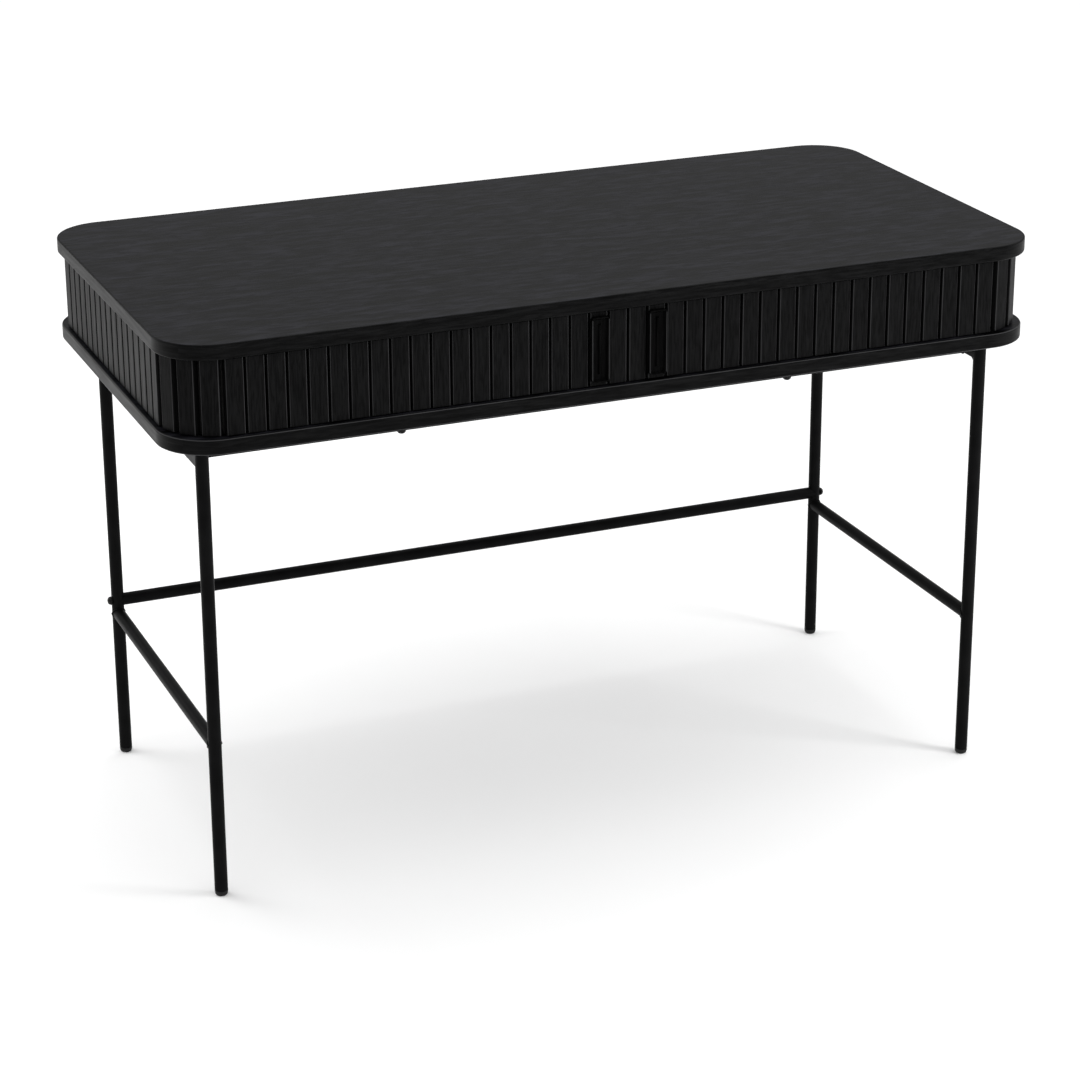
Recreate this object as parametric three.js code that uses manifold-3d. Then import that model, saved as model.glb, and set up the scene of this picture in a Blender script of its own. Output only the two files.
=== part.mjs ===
// Writing desk with two tambour (roll-front) sliding doors, on a welded round-tube frame.
// Units are millimetres, +Z is up, the front faces -Y and the origin is on the floor under the desk's centre.
import * as THREE from "three";
import { mergeVertices } from "three/addons/utils/BufferGeometryUtils.js";
import Module from "manifold-3d";

const wasm = await Module();
wasm.setup();

// ---- driving dimensions -------------------------------------------------------------------------
const WIDTH = 1200;
const HEIGHT = 762;
const BOARD_THICKNESS = 20;
const BOARD_CORNER_RADIUS = 70;
const BODY_HEIGHT = 100; // clear height between the two boards
const OVERHANG = 6; // from a board's edge to the face of the slats
const SLAT_THICKNESS = 12; // from the canvas's inner face to the slat's face
const CANVAS_THICKNESS = 1;
const SLAT_GAP = 2;
const SLAT_CHAMFER = 0.8; // how far a slat narrows from the canvas to its face, on each side
const TONGUE_INNER = 0.5; // the slat ends that run in the grooves, measured out from the canvas's inner face
const TONGUE_OUTER = 4;
const TONGUE_SHOULDER = 1;
const TONGUE_LENGTH = 5; // how far they reach into a board
const GROOVE_DEPTH = 6.5;
const GROOVE_INNER = -0.9; // groove walls, measured outwards from the canvas's inner face
const GROOVE_OUTER = 5.9;
const SLAT_END_CLEARANCE = 1.5;
const FIT = 0.3; // gap between pieces that touch

const FRONT_SLATS = 20; // straight slats of one door along the front
const CORNER_SLATS = 3; // slats across one rounded corner
const SIDE_SLATS = 17; // straight slats along one side
const TRAVEL_SLATS = 18; // how far a door slides, in slats
const CORNER_TURN = Math.PI / 2 / (CORNER_SLATS + 1); // the turn at each seam of a corner

const TUBE_RADIUS = 8.65;
const TUBE_WALL = 1.5;
const TUBE_SIDES = 24;
const LEG_X = 545.5;
const LEG_REAR_Y = 234;
const LEG_FRONT_Y = -LEG_REAR_Y;
const SIDE_STRETCHER_Z = 213;
const BACK_STRETCHER_Z = 232.5;
const RAIL_WIDTH = 2 * TUBE_RADIUS;
const RAIL_HEIGHT = 34;
const CROSS_RAIL_SETBACK = 36; // from a leg's axis to the nearer cross rail's axis
const FOOT_HEIGHT = 7;
const FOOT_STEM = 18;
const BOLT_RADIUS = 3;
const BOLT_HEAD_RADIUS = 6;
const BOLT_HEAD_HEIGHT = 5;
const BOLT_INTO_BOARD = 12;
const PLUG_LENGTH = 22; // threaded plugs welded into the ends of the back stretcher
const PANEL_THICKNESS = 12;
const DIVIDER_THICKNESS = 18;
const LINER_CLEARANCE = 9; // between the canvas's inner face and the inner panels

const HANDLE_WIDTH = 24;
const HANDLE_DEPTH = 6;
const HANDLE_HEIGHT = 86;
const HANDLE_SLAT = 1; // the slat that carries the handle, counted from the centre seam
const HANDLE_SCOOP_DEPTH = 3.2;
const HANDLE_SCOOP_WIDTH = 15;

// ---- worked out from them -----------------------------------------------------------------------
// Along one axis a corner takes up the cosines of its slats' angles, in pitches.
let cornerReach = 0;
for (let turn = 1; turn <= CORNER_SLATS; turn += 1) {
  cornerReach += Math.cos(turn * CORNER_TURN);
}
const CANVAS_HALF_X = WIDTH / 2 - OVERHANG - SLAT_THICKNESS;
const PITCH = CANVAS_HALF_X / (FRONT_SLATS + cornerReach);
const CANVAS_HALF_Y = (SIDE_SLATS / 2 + cornerReach) * PITCH;
const DEPTH = 2 * (CANVAS_HALF_Y + SLAT_THICKNESS + OVERHANG);
const CANVAS_RADIUS = PITCH / 2 / Math.tan(CORNER_TURN / 2);

const TOP_Z = HEIGHT - BOARD_THICKNESS; // underside of the tabletop
const BASE_TOP_Z = TOP_Z - BODY_HEIGHT; // upper face of the bottom board
const BASE_Z = BASE_TOP_Z - BOARD_THICKNESS; // underside of the bottom board
const LEG_TOP_Z = BASE_Z - FIT;
const RAIL_BOTTOM_Z = LEG_TOP_Z - RAIL_HEIGHT;
const FRONT_RAIL_Y = LEG_FRONT_Y + CROSS_RAIL_SETBACK;
const REAR_RAIL_Y = LEG_REAR_Y - CROSS_RAIL_SETBACK;
const RAIL_BOLT_X = LEG_X / 2;

// ---- materials ----------------------------------------------------------------------------------
const finishes = {
  veneer: { color: 0x38383a, roughness: 0.55, metalness: 0 },
  slat: { color: 0x1f1f20, roughness: 0.5, metalness: 0 },
  panel: { color: 0x2a2a2b, roughness: 0.6, metalness: 0 },
  steel: { color: 0x1d1d1e, roughness: 0.45, metalness: 0.3 },
  bolt: { color: 0x19191a, roughness: 0.4, metalness: 0.6 },
  plastic: { color: 0x141414, roughness: 0.6, metalness: 0 },
};

const desk = new THREE.Group();
const assemblies = {};
for (const name of ["carcass", "left_door", "right_door", "frame"]) {
  assemblies[name] = new THREE.Group();
  desk.add(assemblies[name]);
}

function addPiece(assembly, name, geometry, finish) {
  const mesh = new THREE.Mesh(geometry, new THREE.MeshStandardMaterial(finishes[finish]));
  mesh.name = name;
  assemblies[assembly].add(mesh);
}

// ---- solids -------------------------------------------------------------------------------------
function toSolid(geometry) {
  const bare = geometry.clone();
  bare.deleteAttribute("normal");
  bare.deleteAttribute("uv");
  const merged = mergeVertices(bare, 1e-4);
  return new wasm.Manifold(
    new wasm.Mesh({
      numProp: 3,
      vertProperties: merged.attributes.position.array,
      triVerts: new Uint32Array(merged.index.array),
    }),
  );
}

function toGeometry(solid) {
  const mesh = solid.getMesh();
  const geometry = new THREE.BufferGeometry();
  geometry.setAttribute("position", new THREE.BufferAttribute(mesh.vertProperties, 3));
  geometry.setIndex(new THREE.BufferAttribute(mesh.triVerts, 1));
  geometry.computeVertexNormals();
  return geometry;
}

// Joins the first geometry with `added`, then takes `cut` away.
function combine(base, added, cut) {
  let solid = toSolid(base);
  for (const geometry of added) {
    solid = solid.add(toSolid(geometry));
  }
  for (const geometry of cut) {
    solid = solid.subtract(toSolid(geometry));
  }
  return toGeometry(solid);
}

// A plan outline raised from one height to another.
function prism(outline, bottom, top, curveSegments = 8) {
  const settings = { depth: top - bottom, bevelEnabled: false, curveSegments };
  return new THREE.ExtrudeGeometry(outline, settings).translate(0, 0, bottom);
}

function polygon(points) {
  return new THREE.Shape(points.map(([x, y]) => new THREE.Vector2(x, y)));
}

function roundedRectangle(halfX, halfY, radius, shape = new THREE.Shape()) {
  shape.moveTo(halfX, -halfY + radius);
  shape.absarc(halfX - radius, halfY - radius, radius, 0, Math.PI / 2, false);
  shape.absarc(-halfX + radius, halfY - radius, radius, Math.PI / 2, Math.PI, false);
  shape.absarc(-halfX + radius, -halfY + radius, radius, Math.PI, 1.5 * Math.PI, false);
  shape.absarc(halfX - radius, -halfY + radius, radius, 1.5 * Math.PI, 2 * Math.PI, false);
  return shape;
}

function box(x0, x1, y0, y1, z0, z1) {
  const geometry = new THREE.BoxGeometry(x1 - x0, y1 - y0, z1 - z0);
  return geometry.translate((x0 + x1) / 2, (y0 + y1) / 2, (z0 + z1) / 2);
}

// Cylinders along an axis, from one end to the other, around a centre line given by its two other coordinates.
function uprightRod(x, y, z0, z1, radius, sides = TUBE_SIDES) {
  const geometry = new THREE.CylinderGeometry(radius, radius, z1 - z0, sides).rotateX(Math.PI / 2);
  return geometry.translate(x, y, (z0 + z1) / 2);
}

function crosswiseRod(x0, x1, y, z, radius, sides = TUBE_SIDES) {
  const geometry = new THREE.CylinderGeometry(radius, radius, x1 - x0, sides).rotateZ(Math.PI / 2);
  return geometry.translate((x0 + x1) / 2, y, z);
}

function lengthwiseRod(x, y0, y1, z, radius, sides = TUBE_SIDES) {
  const geometry = new THREE.CylinderGeometry(radius, radius, y1 - y0, sides);
  return geometry.translate(x, (y0 + y1) / 2, z);
}

// ---- boards -------------------------------------------------------------------------------------
// One groove runs right round both boards; the door curtains' slat ends slide in it.
function grooveRing(bottom, top) {
  const outer = roundedRectangle(
    CANVAS_HALF_X + GROOVE_OUTER,
    CANVAS_HALF_Y + GROOVE_OUTER,
    CANVAS_RADIUS + GROOVE_OUTER,
  );
  const inner = roundedRectangle(
    CANVAS_HALF_X + GROOVE_INNER,
    CANVAS_HALF_Y + GROOVE_INNER,
    CANVAS_RADIUS + GROOVE_INNER,
    new THREE.Path(),
  );
  outer.holes.push(inner);
  return prism(outer, bottom, top);
}

const boardOutline = roundedRectangle(WIDTH / 2, DEPTH / 2, BOARD_CORNER_RADIUS);
const EXTRA = 1; // lets a cutting solid stand clear of the face it cuts

const topGroove = grooveRing(TOP_Z - EXTRA, TOP_Z + GROOVE_DEPTH);
const tabletop = combine(prism(boardOutline, TOP_Z, HEIGHT, 10), [], [topGroove]);
addPiece("carcass", "tabletop", tabletop, "veneer");

const railBoltPlaces = [
  ["front_rail_bolt_left", -RAIL_BOLT_X, FRONT_RAIL_Y],
  ["front_rail_bolt_right", RAIL_BOLT_X, FRONT_RAIL_Y],
  ["rear_rail_bolt_left", -RAIL_BOLT_X, REAR_RAIL_Y],
  ["rear_rail_bolt_right", RAIL_BOLT_X, REAR_RAIL_Y],
];
const BOLT_TOP_Z = BASE_Z + BOLT_INTO_BOARD;
const railBoltHoles = railBoltPlaces.map(([, x, y]) =>
  uprightRod(x, y, RAIL_BOTTOM_Z - EXTRA, BOLT_TOP_Z + FIT, BOLT_RADIUS + FIT, 16),
);
const baseBoard = combine(
  prism(boardOutline, BASE_Z, BASE_TOP_Z, 10),
  [],
  [grooveRing(BASE_TOP_Z - GROOVE_DEPTH, BASE_TOP_Z + EXTRA), ...railBoltHoles],
);
addPiece("carcass", "bottom_board", baseBoard, "veneer");

// ---- inner panels -------------------------------------------------------------------------------
const LINER_HALF_X = CANVAS_HALF_X - LINER_CLEARANCE; // outer faces of the inner panels
const LINER_HALF_Y = CANVAS_HALF_Y - LINER_CLEARANCE;
const LINER_RADIUS = CANVAS_RADIUS - LINER_CLEARANCE;
const LINER_BOTTOM_Z = BASE_TOP_Z + FIT;
const LINER_TOP_Z = TOP_Z - FIT;
const CORNER_CENTRE_X = LINER_HALF_X - LINER_RADIUS;
const CORNER_CENTRE_Y = LINER_HALF_Y - LINER_RADIUS;
const SIDE_PANEL_FRONT_Y = -CORNER_CENTRE_Y;
const BACK_PANEL_Y = LINER_HALF_Y - PANEL_THICKNESS; // its inner face

function cornerPanelOutline(side) {
  const inset = FIT / LINER_RADIUS; // the two end faces stand clear of the flat panels
  const start = side > 0 ? inset : Math.PI / 2 + inset;
  const end = start + Math.PI / 2 - 2 * inset;
  const centreX = side * CORNER_CENTRE_X;
  const shape = new THREE.Shape();
  shape.absarc(centreX, CORNER_CENTRE_Y, LINER_RADIUS, start, end, false);
  shape.absarc(centreX, CORNER_CENTRE_Y, LINER_RADIUS - PANEL_THICKNESS, end, start, true);
  return shape;
}

for (const [word, side] of [["left", -1], ["right", 1]]) {
  const faces = [side * LINER_HALF_X, side * (LINER_HALF_X - PANEL_THICKNESS)].sort((a, b) => a - b);
  const sidePanel = box(...faces, SIDE_PANEL_FRONT_Y, CORNER_CENTRE_Y, LINER_BOTTOM_Z, LINER_TOP_Z);
  addPiece("carcass", `${word}_side_panel`, sidePanel, "panel");
  const cornerPanel = prism(cornerPanelOutline(side), LINER_BOTTOM_Z, LINER_TOP_Z, 10);
  addPiece("carcass", `${word}_corner_panel`, cornerPanel, "panel");
}
const backPanel = box(-CORNER_CENTRE_X, CORNER_CENTRE_X, BACK_PANEL_Y, LINER_HALF_Y, LINER_BOTTOM_Z, LINER_TOP_Z);
addPiece("carcass", "back_panel", backPanel, "panel");
const divider = box(
  -DIVIDER_THICKNESS / 2,
  DIVIDER_THICKNESS / 2,
  -LINER_HALF_Y,
  BACK_PANEL_Y - FIT,
  LINER_BOTTOM_Z,
  LINER_TOP_Z,
);
addPiece("carcass", "centre_divider", divider, "panel");

// ---- tambour doors ------------------------------------------------------------------------------
// A door is a curtain of slats glued on canvas. Seam k lies between slat k - 1 and slat k, on the canvas's
// inner face. The groups below are the stretches that stay rigid while the door slides TRAVEL_SLATS slats.
const curtainGroups = [
  ["lead", 0, 1],
  ["slat_03", 2, 2],
  ["slat_04", 3, 3],
  ["slat_05", 4, 4],
  ["front_run", 5, 19],
  ["slat_21", 20, 20],
  ["corner_run", 21, 23],
  ["slat_25", 24, 24],
  ["side_run", 25, 39],
  ["slat_41", 40, 40],
  ["slat_42", 41, 41],
  ["slat_43", 42, 42],
];
const FRONT_CORNER_SEAM = FRONT_SLATS;
const REAR_CORNER_SEAM = FRONT_SLATS + CORNER_SLATS + SIDE_SLATS;
const SLATS = REAR_CORNER_SEAM + CORNER_SLATS;

function isTurned(seam) {
  const fromFront = seam - FRONT_CORNER_SEAM;
  const fromRear = seam - REAR_CORNER_SEAM;
  return (fromFront >= 0 && fromFront <= CORNER_SLATS) || (fromRear >= 0 && fromRear <= CORNER_SLATS);
}

// Seam points and slat headings of the left door, from the centre seam round to the rear corner.
const seams = [new THREE.Vector2(0, -CANVAS_HALF_Y)];
const headings = [];
for (let slat = 0, heading = Math.PI; slat < SLATS; slat += 1) {
  heading -= isTurned(slat) ? CORNER_TURN : 0;
  headings.push(heading);
  const step = new THREE.Vector2(Math.cos(heading), Math.sin(heading)).multiplyScalar(PITCH);
  seams.push(seams[slat].clone().add(step));
}

// A point of a slat: `along` runs from its first seam, `out` from the canvas's inner face to the outside.
function slatPoint(slat, along, out, side) {
  const heading = headings[slat];
  const x = seams[slat].x + along * Math.cos(heading) - out * Math.sin(heading);
  const y = seams[slat].y + along * Math.sin(heading) + out * Math.cos(heading);
  return [-side * x, y];
}

const SLAT_BOTTOM_Z = BASE_TOP_Z + SLAT_END_CLEARANCE;
const SLAT_TOP_Z = TOP_Z - SLAT_END_CLEARANCE;

// The canvas carries every slat of the piece on one strip, so its plan outline is a comb.
function curtainOutline(first, last, side) {
  const bend = CANVAS_THICKNESS * Math.tan(CORNER_TURN / 2); // how far a turned seam's outer side is set back
  const inner = [slatPoint(first, FIT / 2, 0, side)];
  const outer = [slatPoint(first, FIT / 2, CANVAS_THICKNESS, side)];
  for (let slat = first; slat <= last; slat += 1) {
    const start = SLAT_GAP / 2;
    const end = PITCH - SLAT_GAP / 2;
    outer.push(slatPoint(slat, start, CANVAS_THICKNESS, side));
    outer.push(slatPoint(slat, start + SLAT_CHAMFER, SLAT_THICKNESS, side));
    outer.push(slatPoint(slat, end - SLAT_CHAMFER, SLAT_THICKNESS, side));
    outer.push(slatPoint(slat, end, CANVAS_THICKNESS, side));
    if (slat < last && isTurned(slat + 1)) {
      inner.push(slatPoint(slat, PITCH, 0, side));
      outer.push(slatPoint(slat, PITCH + bend, CANVAS_THICKNESS, side));
    }
  }
  inner.push(slatPoint(last, PITCH - FIT / 2, 0, side));
  outer.push(slatPoint(last, PITCH - FIT / 2, CANVAS_THICKNESS, side));
  return polygon([...inner, ...outer.reverse()]);
}

function curtainPiece(first, last, side) {
  const body = prism(curtainOutline(first, last, side), SLAT_BOTTOM_Z, SLAT_TOP_Z);
  const tongues = [];
  for (let slat = first; slat <= last; slat += 1) {
    const start = SLAT_GAP / 2 + TONGUE_SHOULDER;
    const corners = [
      slatPoint(slat, start, TONGUE_INNER, side),
      slatPoint(slat, PITCH - start, TONGUE_INNER, side),
      slatPoint(slat, PITCH - start, TONGUE_OUTER, side),
      slatPoint(slat, start, TONGUE_OUTER, side),
    ];
    tongues.push(prism(polygon(corners), BASE_TOP_Z - TONGUE_LENGTH, TOP_Z + TONGUE_LENGTH));
  }
  return combine(body, tongues, []);
}

// The handle is a bar with a scooped face. Its plan outline stands on the carrying slat's face.
function handlePiece(side) {
  const centre = (HANDLE_SLAT + 0.5) * PITCH;
  const back = SLAT_THICKNESS + FIT;
  const front = SLAT_THICKNESS + HANDLE_DEPTH;
  const half = HANDLE_WIDTH / 2;
  const corners = [
    [centre - half, back],
    [centre + half, back],
    [centre + half, front],
    [centre - half, front],
  ].map(([along, out]) => slatPoint(0, along, out, side));
  const middle = (SLAT_BOTTOM_Z + SLAT_TOP_Z) / 2;
  const bar = prism(polygon(corners), middle - HANDLE_HEIGHT / 2, middle + HANDLE_HEIGHT / 2);
  const halfScoop = HANDLE_SCOOP_WIDTH / 2;
  const radius = (halfScoop ** 2 + HANDLE_SCOOP_DEPTH ** 2) / (2 * HANDLE_SCOOP_DEPTH);
  const [x, y] = slatPoint(0, centre, front + radius - HANDLE_SCOOP_DEPTH, side);
  const rim = HANDLE_WIDTH / 2 - halfScoop;
  const scoop = uprightRod(
    x,
    y,
    middle - HANDLE_HEIGHT / 2 + rim,
    middle + HANDLE_HEIGHT / 2 - rim,
    radius,
    32,
  );
  return combine(bar, [], [scoop]);
}

for (const [word, side] of [["left", -1], ["right", 1]]) {
  for (const [name, first, last] of curtainGroups) {
    addPiece(`${word}_door`, `${word}_curtain_${name}`, curtainPiece(first, last, side), "slat");
  }
  addPiece(`${word}_door`, `${word}_handle`, handlePiece(side), "slat");
}

// ---- steel frame --------------------------------------------------------------------------------
const INNER_RADIUS = TUBE_RADIUS - TUBE_WALL;
const legPlaces = [
  ["front_left", -LEG_X, LEG_FRONT_Y],
  ["front_right", LEG_X, LEG_FRONT_Y],
  ["rear_left", -LEG_X, LEG_REAR_Y],
  ["rear_right", LEG_X, LEG_REAR_Y],
];

function stretcherBoltHole(side) {
  const ends = [side * (LEG_X + 2 * TUBE_RADIUS), side * (LEG_X - TUBE_RADIUS - PLUG_LENGTH - EXTRA)];
  ends.sort((a, b) => a - b);
  return crosswiseRod(...ends, LEG_REAR_Y, BACK_STRETCHER_Z, BOLT_RADIUS + FIT, 16);
}

// A profile turned about the upright axis through (x, y).
function turned(profile, x, y) {
  const points = profile.map(([radius, z]) => new THREE.Vector2(radius, z));
  return new THREE.LatheGeometry(points, TUBE_SIDES).rotateX(Math.PI / 2).translate(x, y, 0);
}

for (const [place, x, y] of legPlaces) {
  const leg = uprightRod(x, y, FOOT_HEIGHT + FIT, LEG_TOP_Z, TUBE_RADIUS);
  const cuts = [uprightRod(x, y, 0, LEG_TOP_Z + EXTRA, INNER_RADIUS)];
  if (y === LEG_REAR_Y) {
    cuts.push(stretcherBoltHole(Math.sign(x)));
  }
  addPiece("frame", `${place}_leg`, combine(leg, [], cuts), "steel");
  const stemRadius = INNER_RADIUS - FIT;
  const footProfile = [
    [0, 0],
    [TUBE_RADIUS * 0.55, 0],
    [TUBE_RADIUS * 0.8, FOOT_HEIGHT * 0.2],
    [TUBE_RADIUS * 0.96, FOOT_HEIGHT * 0.55],
    [TUBE_RADIUS, FOOT_HEIGHT],
    [stemRadius, FOOT_HEIGHT],
    [stemRadius, FOOT_HEIGHT + FOOT_STEM],
    [0, FOOT_HEIGHT + FOOT_STEM],
  ];
  addPiece("frame", `${place}_foot`, turned(footProfile, x, y), "plastic");
}

// Everything that meets a leg is coped to it, with a welding gap.
function legCutters(side) {
  return [LEG_FRONT_Y, LEG_REAR_Y].map((y) => uprightRod(side * LEG_X, y, 0, HEIGHT, TUBE_RADIUS + FIT));
}

for (const [word, side] of [["left", -1], ["right", 1]]) {
  const x = side * LEG_X;
  const rod = lengthwiseRod(x, LEG_FRONT_Y, LEG_REAR_Y, SIDE_STRETCHER_Z, TUBE_RADIUS);
  const bore = lengthwiseRod(x, LEG_FRONT_Y - EXTRA, LEG_REAR_Y + EXTRA, SIDE_STRETCHER_Z, INNER_RADIUS);
  addPiece("frame", `${word}_side_stretcher`, combine(rod, [], [bore, ...legCutters(side)]), "steel");

  const outside = RAIL_WIDTH / 2;
  const inside = outside - TUBE_WALL;
  const rail = box(x - outside, x + outside, LEG_FRONT_Y, LEG_REAR_Y, RAIL_BOTTOM_Z, LEG_TOP_Z);
  const railBore = box(
    x - inside,
    x + inside,
    LEG_FRONT_Y - EXTRA,
    LEG_REAR_Y + EXTRA,
    RAIL_BOTTOM_Z + TUBE_WALL,
    LEG_TOP_Z - TUBE_WALL,
  );
  addPiece("frame", `${word}_top_rail`, combine(rail, [], [railBore, ...legCutters(side)]), "steel");
}

const CROSS_RAIL_HALF = LEG_X - RAIL_WIDTH / 2 - FIT;
for (const [word, y] of [["front", FRONT_RAIL_Y], ["rear", REAR_RAIL_Y]]) {
  const outside = RAIL_WIDTH / 2;
  const inside = outside - TUBE_WALL;
  const rail = box(-CROSS_RAIL_HALF, CROSS_RAIL_HALF, y - outside, y + outside, RAIL_BOTTOM_Z, LEG_TOP_Z);
  const bore = box(
    -CROSS_RAIL_HALF - EXTRA,
    CROSS_RAIL_HALF + EXTRA,
    y - inside,
    y + inside,
    RAIL_BOTTOM_Z + TUBE_WALL,
    LEG_TOP_Z - TUBE_WALL,
  );
  addPiece("frame", `${word}_cross_rail`, combine(rail, [], [bore, ...railBoltHoles]), "steel");
}

const backRod = crosswiseRod(-LEG_X, LEG_X, LEG_REAR_Y, BACK_STRETCHER_Z, TUBE_RADIUS);
const PLUG_FACE_X = LEG_X - TUBE_RADIUS - PLUG_LENGTH;
const backBore = crosswiseRod(-PLUG_FACE_X, PLUG_FACE_X, LEG_REAR_Y, BACK_STRETCHER_Z, INNER_RADIUS);
const backCuts = [backBore];
for (const side of [-1, 1]) {
  backCuts.push(stretcherBoltHole(side));
  backCuts.push(uprightRod(side * LEG_X, LEG_REAR_Y, 0, HEIGHT, TUBE_RADIUS + FIT));
}
addPiece("frame", "back_stretcher", combine(backRod, [], backCuts), "steel");

// ---- bolts --------------------------------------------------------------------------------------
// A domed head with its seat at height 0 and its shank above, turned about the upright axis.
function boltAt(shank) {
  const profile = [
    [0, -BOLT_HEAD_HEIGHT],
    [BOLT_HEAD_RADIUS * 0.5, -BOLT_HEAD_HEIGHT],
    [BOLT_HEAD_RADIUS * 0.87, -BOLT_HEAD_HEIGHT * 0.7],
    [BOLT_HEAD_RADIUS, -BOLT_HEAD_HEIGHT * 0.3],
    [BOLT_HEAD_RADIUS, 0],
    [BOLT_RADIUS, 0],
    [BOLT_RADIUS, shank],
    [0, shank],
  ].map(([radius, z]) => new THREE.Vector2(radius, z));
  return new THREE.LatheGeometry(profile, 16).rotateX(Math.PI / 2);
}

for (const [name, x, y] of railBoltPlaces) {
  const seat = RAIL_BOTTOM_Z - FIT;
  addPiece("frame", name, boltAt(BOLT_TOP_Z - seat).translate(x, y, seat), "bolt");
}

for (const [word, side] of [["left", -1], ["right", 1]]) {
  const seat = LEG_X + TUBE_RADIUS + FIT;
  const shank = seat - (PLUG_FACE_X + EXTRA);
  const bolt = boltAt(shank).rotateY((-side * Math.PI) / 2);
  bolt.translate(side * seat, LEG_REAR_Y, BACK_STRETCHER_Z);
  addPiece("frame", `back_stretcher_bolt_${word}`, bolt, "bolt");
}

export default desk;
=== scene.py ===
"""Looks of a writing desk with two tambour doors on a round-tube frame.

Units are metres in the row frame: +Z is up, the front faces -Y and the origin is on the floor under
the desk's centre. Every place is worked out from the boxes of the CAD nodes.
"""

import math

import bmesh
import bpy
from mathutils import Matrix, Vector


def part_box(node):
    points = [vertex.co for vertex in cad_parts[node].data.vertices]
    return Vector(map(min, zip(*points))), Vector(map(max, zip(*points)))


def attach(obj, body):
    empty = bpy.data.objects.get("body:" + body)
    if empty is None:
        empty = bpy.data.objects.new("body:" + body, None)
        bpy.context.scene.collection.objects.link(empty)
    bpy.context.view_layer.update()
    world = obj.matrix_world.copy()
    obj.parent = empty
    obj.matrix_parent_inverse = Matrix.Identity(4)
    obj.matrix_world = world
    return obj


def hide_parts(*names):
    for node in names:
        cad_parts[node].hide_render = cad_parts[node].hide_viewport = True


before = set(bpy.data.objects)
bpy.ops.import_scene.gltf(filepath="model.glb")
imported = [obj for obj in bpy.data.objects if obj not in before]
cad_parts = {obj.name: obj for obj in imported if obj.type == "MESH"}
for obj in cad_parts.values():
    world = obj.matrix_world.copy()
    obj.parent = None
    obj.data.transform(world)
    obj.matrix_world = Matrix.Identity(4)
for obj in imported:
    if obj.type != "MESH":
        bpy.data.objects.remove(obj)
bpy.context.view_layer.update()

MM = 0.001
FIT = 0.3 * MM  # gap between pieces that touch
HANDS = (("left", -1), ("right", 1))

# ---- sizes taken from the CAD nodes --------------------------------------------------------------
top_low, top_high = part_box("tabletop")
base_low, base_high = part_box("bottom_board")
run_low, run_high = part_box("left_curtain_front_run")
slat_low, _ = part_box("left_curtain_side_run")
leg_low, leg_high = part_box("front_right_leg")
rear_leg_low, rear_leg_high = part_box("rear_right_leg")
rail_low, rail_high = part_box("right_top_rail")

HALF_WIDTH = top_high.x
HALF_DEPTH = top_high.y
RUN_SLATS = 15  # slats in a door's front run
PITCH = (run_high.x - run_low.x + FIT) / RUN_SLATS
OVERHANG = HALF_WIDTH + slat_low.x
TONGUE_LENGTH = base_high.z - run_low.z

# ---- sizes of the slats and boards that the boxes do not show ------------------------------------
SLAT_THICKNESS = 12 * MM
CANVAS_THICKNESS = 1 * MM
SLAT_GAP = 2 * MM
SLAT_CHAMFER = 0.8 * MM
SLAT_EDGE_RADIUS = 2.0 * MM
SLAT_END_ROUND = 0.6 * MM
FILLET_STEPS = 5
SLAT_END_CLEARANCE = 1.5 * MM
TONGUE_INNER = 0.5 * MM
TONGUE_OUTER = 4 * MM
TONGUE_SHOULDER = 1 * MM
FRONT_SLATS = 20
CORNER_SLATS = 3
SIDE_SLATS = 17
CORNER_TURN = math.pi / 2 / (CORNER_SLATS + 1)

BOARD_CORNER_RADIUS = 70 * MM
BOARD_ARRIS = 2.4 * MM
ARRIS_STEPS = 6
CORNER_STEPS = 28
GROOVE_DEPTH = 6.5 * MM
GROOVE_INNER = -0.9 * MM
GROOVE_OUTER = 5.9 * MM
CANVAS_INSET = OVERHANG + SLAT_THICKNESS  # from a board's edge to the canvas's inner face
CANVAS_RADIUS = PITCH / 2 / math.tan(CORNER_TURN / 2)

# ---- meshes --------------------------------------------------------------------------------------
SHARP_ANGLE = math.radians(40)
GRAIN = "grain"  # UV map in metres: u runs along the grain
HIGHLIGHT_ATTRIBUTE = "painted_highlight"  # face attribute: 1 where a painted highlight lies on an edge


def new_piece(name, vertices, faces, coordinates, highlighted):
    """A closed mesh object, with grain coordinates at each vertex and a mark on each face with a painted
    edge highlight.
    """
    mesh = bpy.data.meshes.new(name)
    mesh.from_pydata([tuple(point) for point in vertices], [], faces)
    layer = mesh.uv_layers.new(name=GRAIN)
    for loop in mesh.loops:
        layer.data[loop.index].uv = coordinates[loop.vertex_index]
    marks = mesh.attributes.new(HIGHLIGHT_ATTRIBUTE, "FLOAT", "FACE")
    marks.data.foreach_set("value", highlighted)
    form = bmesh.new()
    form.from_mesh(mesh)
    bmesh.ops.remove_doubles(form, verts=form.verts, dist=1e-6)
    bmesh.ops.dissolve_degenerate(form, edges=form.edges, dist=1e-7)
    bmesh.ops.recalc_face_normals(form, faces=form.faces)
    form.to_mesh(mesh)
    form.free()
    mesh.shade_smooth()
    mesh.set_sharp_from_angle(angle=SHARP_ANGLE)
    piece = bpy.data.objects.new(name, mesh)
    bpy.context.scene.collection.objects.link(piece)
    weighting = piece.modifiers.new("weighted_normals", "WEIGHTED_NORMAL")
    weighting.keep_sharp = True
    return piece


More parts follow.
